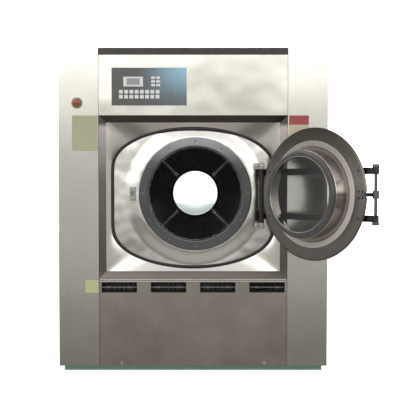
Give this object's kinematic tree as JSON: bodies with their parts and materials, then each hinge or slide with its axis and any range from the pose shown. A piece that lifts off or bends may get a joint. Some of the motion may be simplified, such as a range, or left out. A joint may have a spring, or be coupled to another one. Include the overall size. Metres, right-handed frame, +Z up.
{
  "type": "washer-dryer",
  "caption": "Large free-standing drum laundry machine with a steel cabinet, a suspended tub, a turning drum, a swung-open round door and a keypad.",
  "frame": {"origin": "centre of the base frame's underside, on the floor", "axes": "+X to the viewer's right, +Y from the front to the back, +Z up"},
  "size_m": [1.6541, 2.0257, 1.87],
  "materials": {
    "green_paint": "satin green paint",
    "frame_paint": "matt grey paint",
    "column_steel": "vertically brushed stainless steel",
    "side_steel": "brushed stainless steel",
    "dark_trim": "satin dark paint",
    "front_steel": "brushed stainless steel",
    "lower_steel": "brushed stainless steel",
    "bezel_steel": "dark brushed stainless steel",
    "funnel_steel": "polished stainless steel",
    "tub_front_steel": "polished stainless steel",
    "tub_steel": "plain stainless steel",
    "black_rubber": "matt",
    "keypad_film": "satin membrane film",
    "display": "glossy display frame",
    "key_white": "satin",
    "stop_ring_yellow": "aged yellow plastic",
    "stop_red": "glossy red plastic",
    "black_plastic": "satin",
    "vent_black": "matt black",
    "vent_bar": "satin",
    "bright_steel": "bright",
    "brass": "machined",
    "grey_plastic": "satin",
    "box_paint": "textured paint",
    "clamp_ring_metal": "satin blue-grey",
    "cast_iron": "machined casting",
    "motor_paint": "satin paint",
    "spring_steel": "satin paint",
    "drum_steel": "polished stainless steel",
    "door_metal": "dark brushed stainless steel",
    "gasket_rubber": "matt tan rubber",
    "door_glass": "clear",
    "glass_ring_rubber": "satin",
    "arm_paint": "satin black"
  },
  "bodies": {
    "cabinet": {"base_frame": "green_paint", "main_frame": "frame_paint", "left_column": "column_steel", "right_column": "column_steel", "left_side_panel": "side_steel", "right_side_panel": "side_steel", "top_cover": "side_steel", "top_trim": "dark_trim", "control_housing": "front_steel", "rear_panel": "side_steel", "lower_front_panel": "lower_steel", "bezel_strips": "bezel_steel", "funnel_panel": "funnel_steel", "seal_strip": "black_rubber", "keypad_panel": "keypad_film", "lcd_window": "display", "program_keys": "key_white", "function_keys": "key_white", "stop_ring": "stop_ring_yellow", "vent_trays": "vent_black", "vent_bars": "vent_bar", "panel_screws": "bright_steel", "water_inlets": "brass", "steam_inlet": "bright_steel", "drain_outlet": "grey_plastic", "cable_gland": "black_plastic", "electrical_box": "box_paint", "suspension_springs": "spring_steel"},
    "stop_stem": {"stop_stem": "black_plastic"},
    "stop_button": {"stop_button": "stop_red"},
    "tub": {"tub_shell": "tub_steel", "tub_front_plate": "tub_steel", "tub_front_panel": "tub_front_steel", "clamp_ring": "clamp_ring_metal", "ring_bolts": "bright_steel", "hinge_bracket": "bright_steel", "hinge_pin": "bright_steel", "catch_plate": "bright_steel", "door_sensor": "black_plastic", "bearing_housing": "cast_iron", "shaft_bearings": "bright_steel", "drive_motor": "motor_paint", "tub_supports": "frame_paint", "drive_belts": "black_rubber", "drain_valve": "grey_plastic"},
    "drum": {"drum_shell": "drum_steel", "drum_front_plate": "drum_steel", "drum_rear_wall": "drum_steel", "drum_lifters": "drum_steel", "main_shaft": "bright_steel", "drum_pulley": "cast_iron"},
    "motor_rotor": {"motor_pulley": "cast_iron"},
    "door": {"door_ring": "door_metal", "door_gasket": "gasket_rubber", "door_glass": "door_glass", "glass_ring": "glass_ring_rubber", "door_arms": "arm_paint"},
    "latch": {"latch_rod": "arm_paint"}
  },
  "joints": [
    {"name": "tub_bounce", "type": "slide", "parent": "cabinet", "child": "tub", "axis": [0, 0, 1], "range_m": [-0.006, 0.006], "stiffness_N_per_m": 3000000, "springref_m": 0.0031, "deforming": ["suspension_springs"]},
    {"name": "drum_spin", "type": "hinge", "parent": "tub", "child": "drum", "pos_m": [0.012, 0.2, 0.98199], "axis": [0, 1, 0], "continuous": true},
    {"name": "motor_spin", "type": "hinge", "parent": "tub", "child": "motor_rotor", "pos_m": [0.412, 0.2, 0.236], "axis": [0, 1, 0], "continuous": true},
    {"name": "door_swing", "type": "hinge", "parent": "tub", "child": "door", "pos_m": [0.375, -0.71, 0.971], "axis": [0, 0, 1], "range_deg": [-133, 15]},
    {"name": "latch_turn", "type": "hinge", "parent": "door", "child": "latch", "pos_m": [0.8961, -1.2318, 0.98199], "axis": [0, 0, 1], "range_deg": [0, 35]},
    {"name": "stop_push", "type": "slide", "parent": "cabinet", "child": "stop_stem", "axis": [0, 1, 0], "range_m": [0, 0.006], "stiffness_N_per_m": 1500},
    {"name": "stop_twist", "type": "hinge", "parent": "stop_stem", "child": "stop_button", "pos_m": [-0.636, -0.71, 1.479], "axis": [0, 1, 0], "range_deg": [0, 40], "stiffness_Nm_per_rad": 0.1}
  ],
  "couplings": [
    {"joint": "motor_spin", "follows": "drum_spin", "ratio": 4}
  ]
}
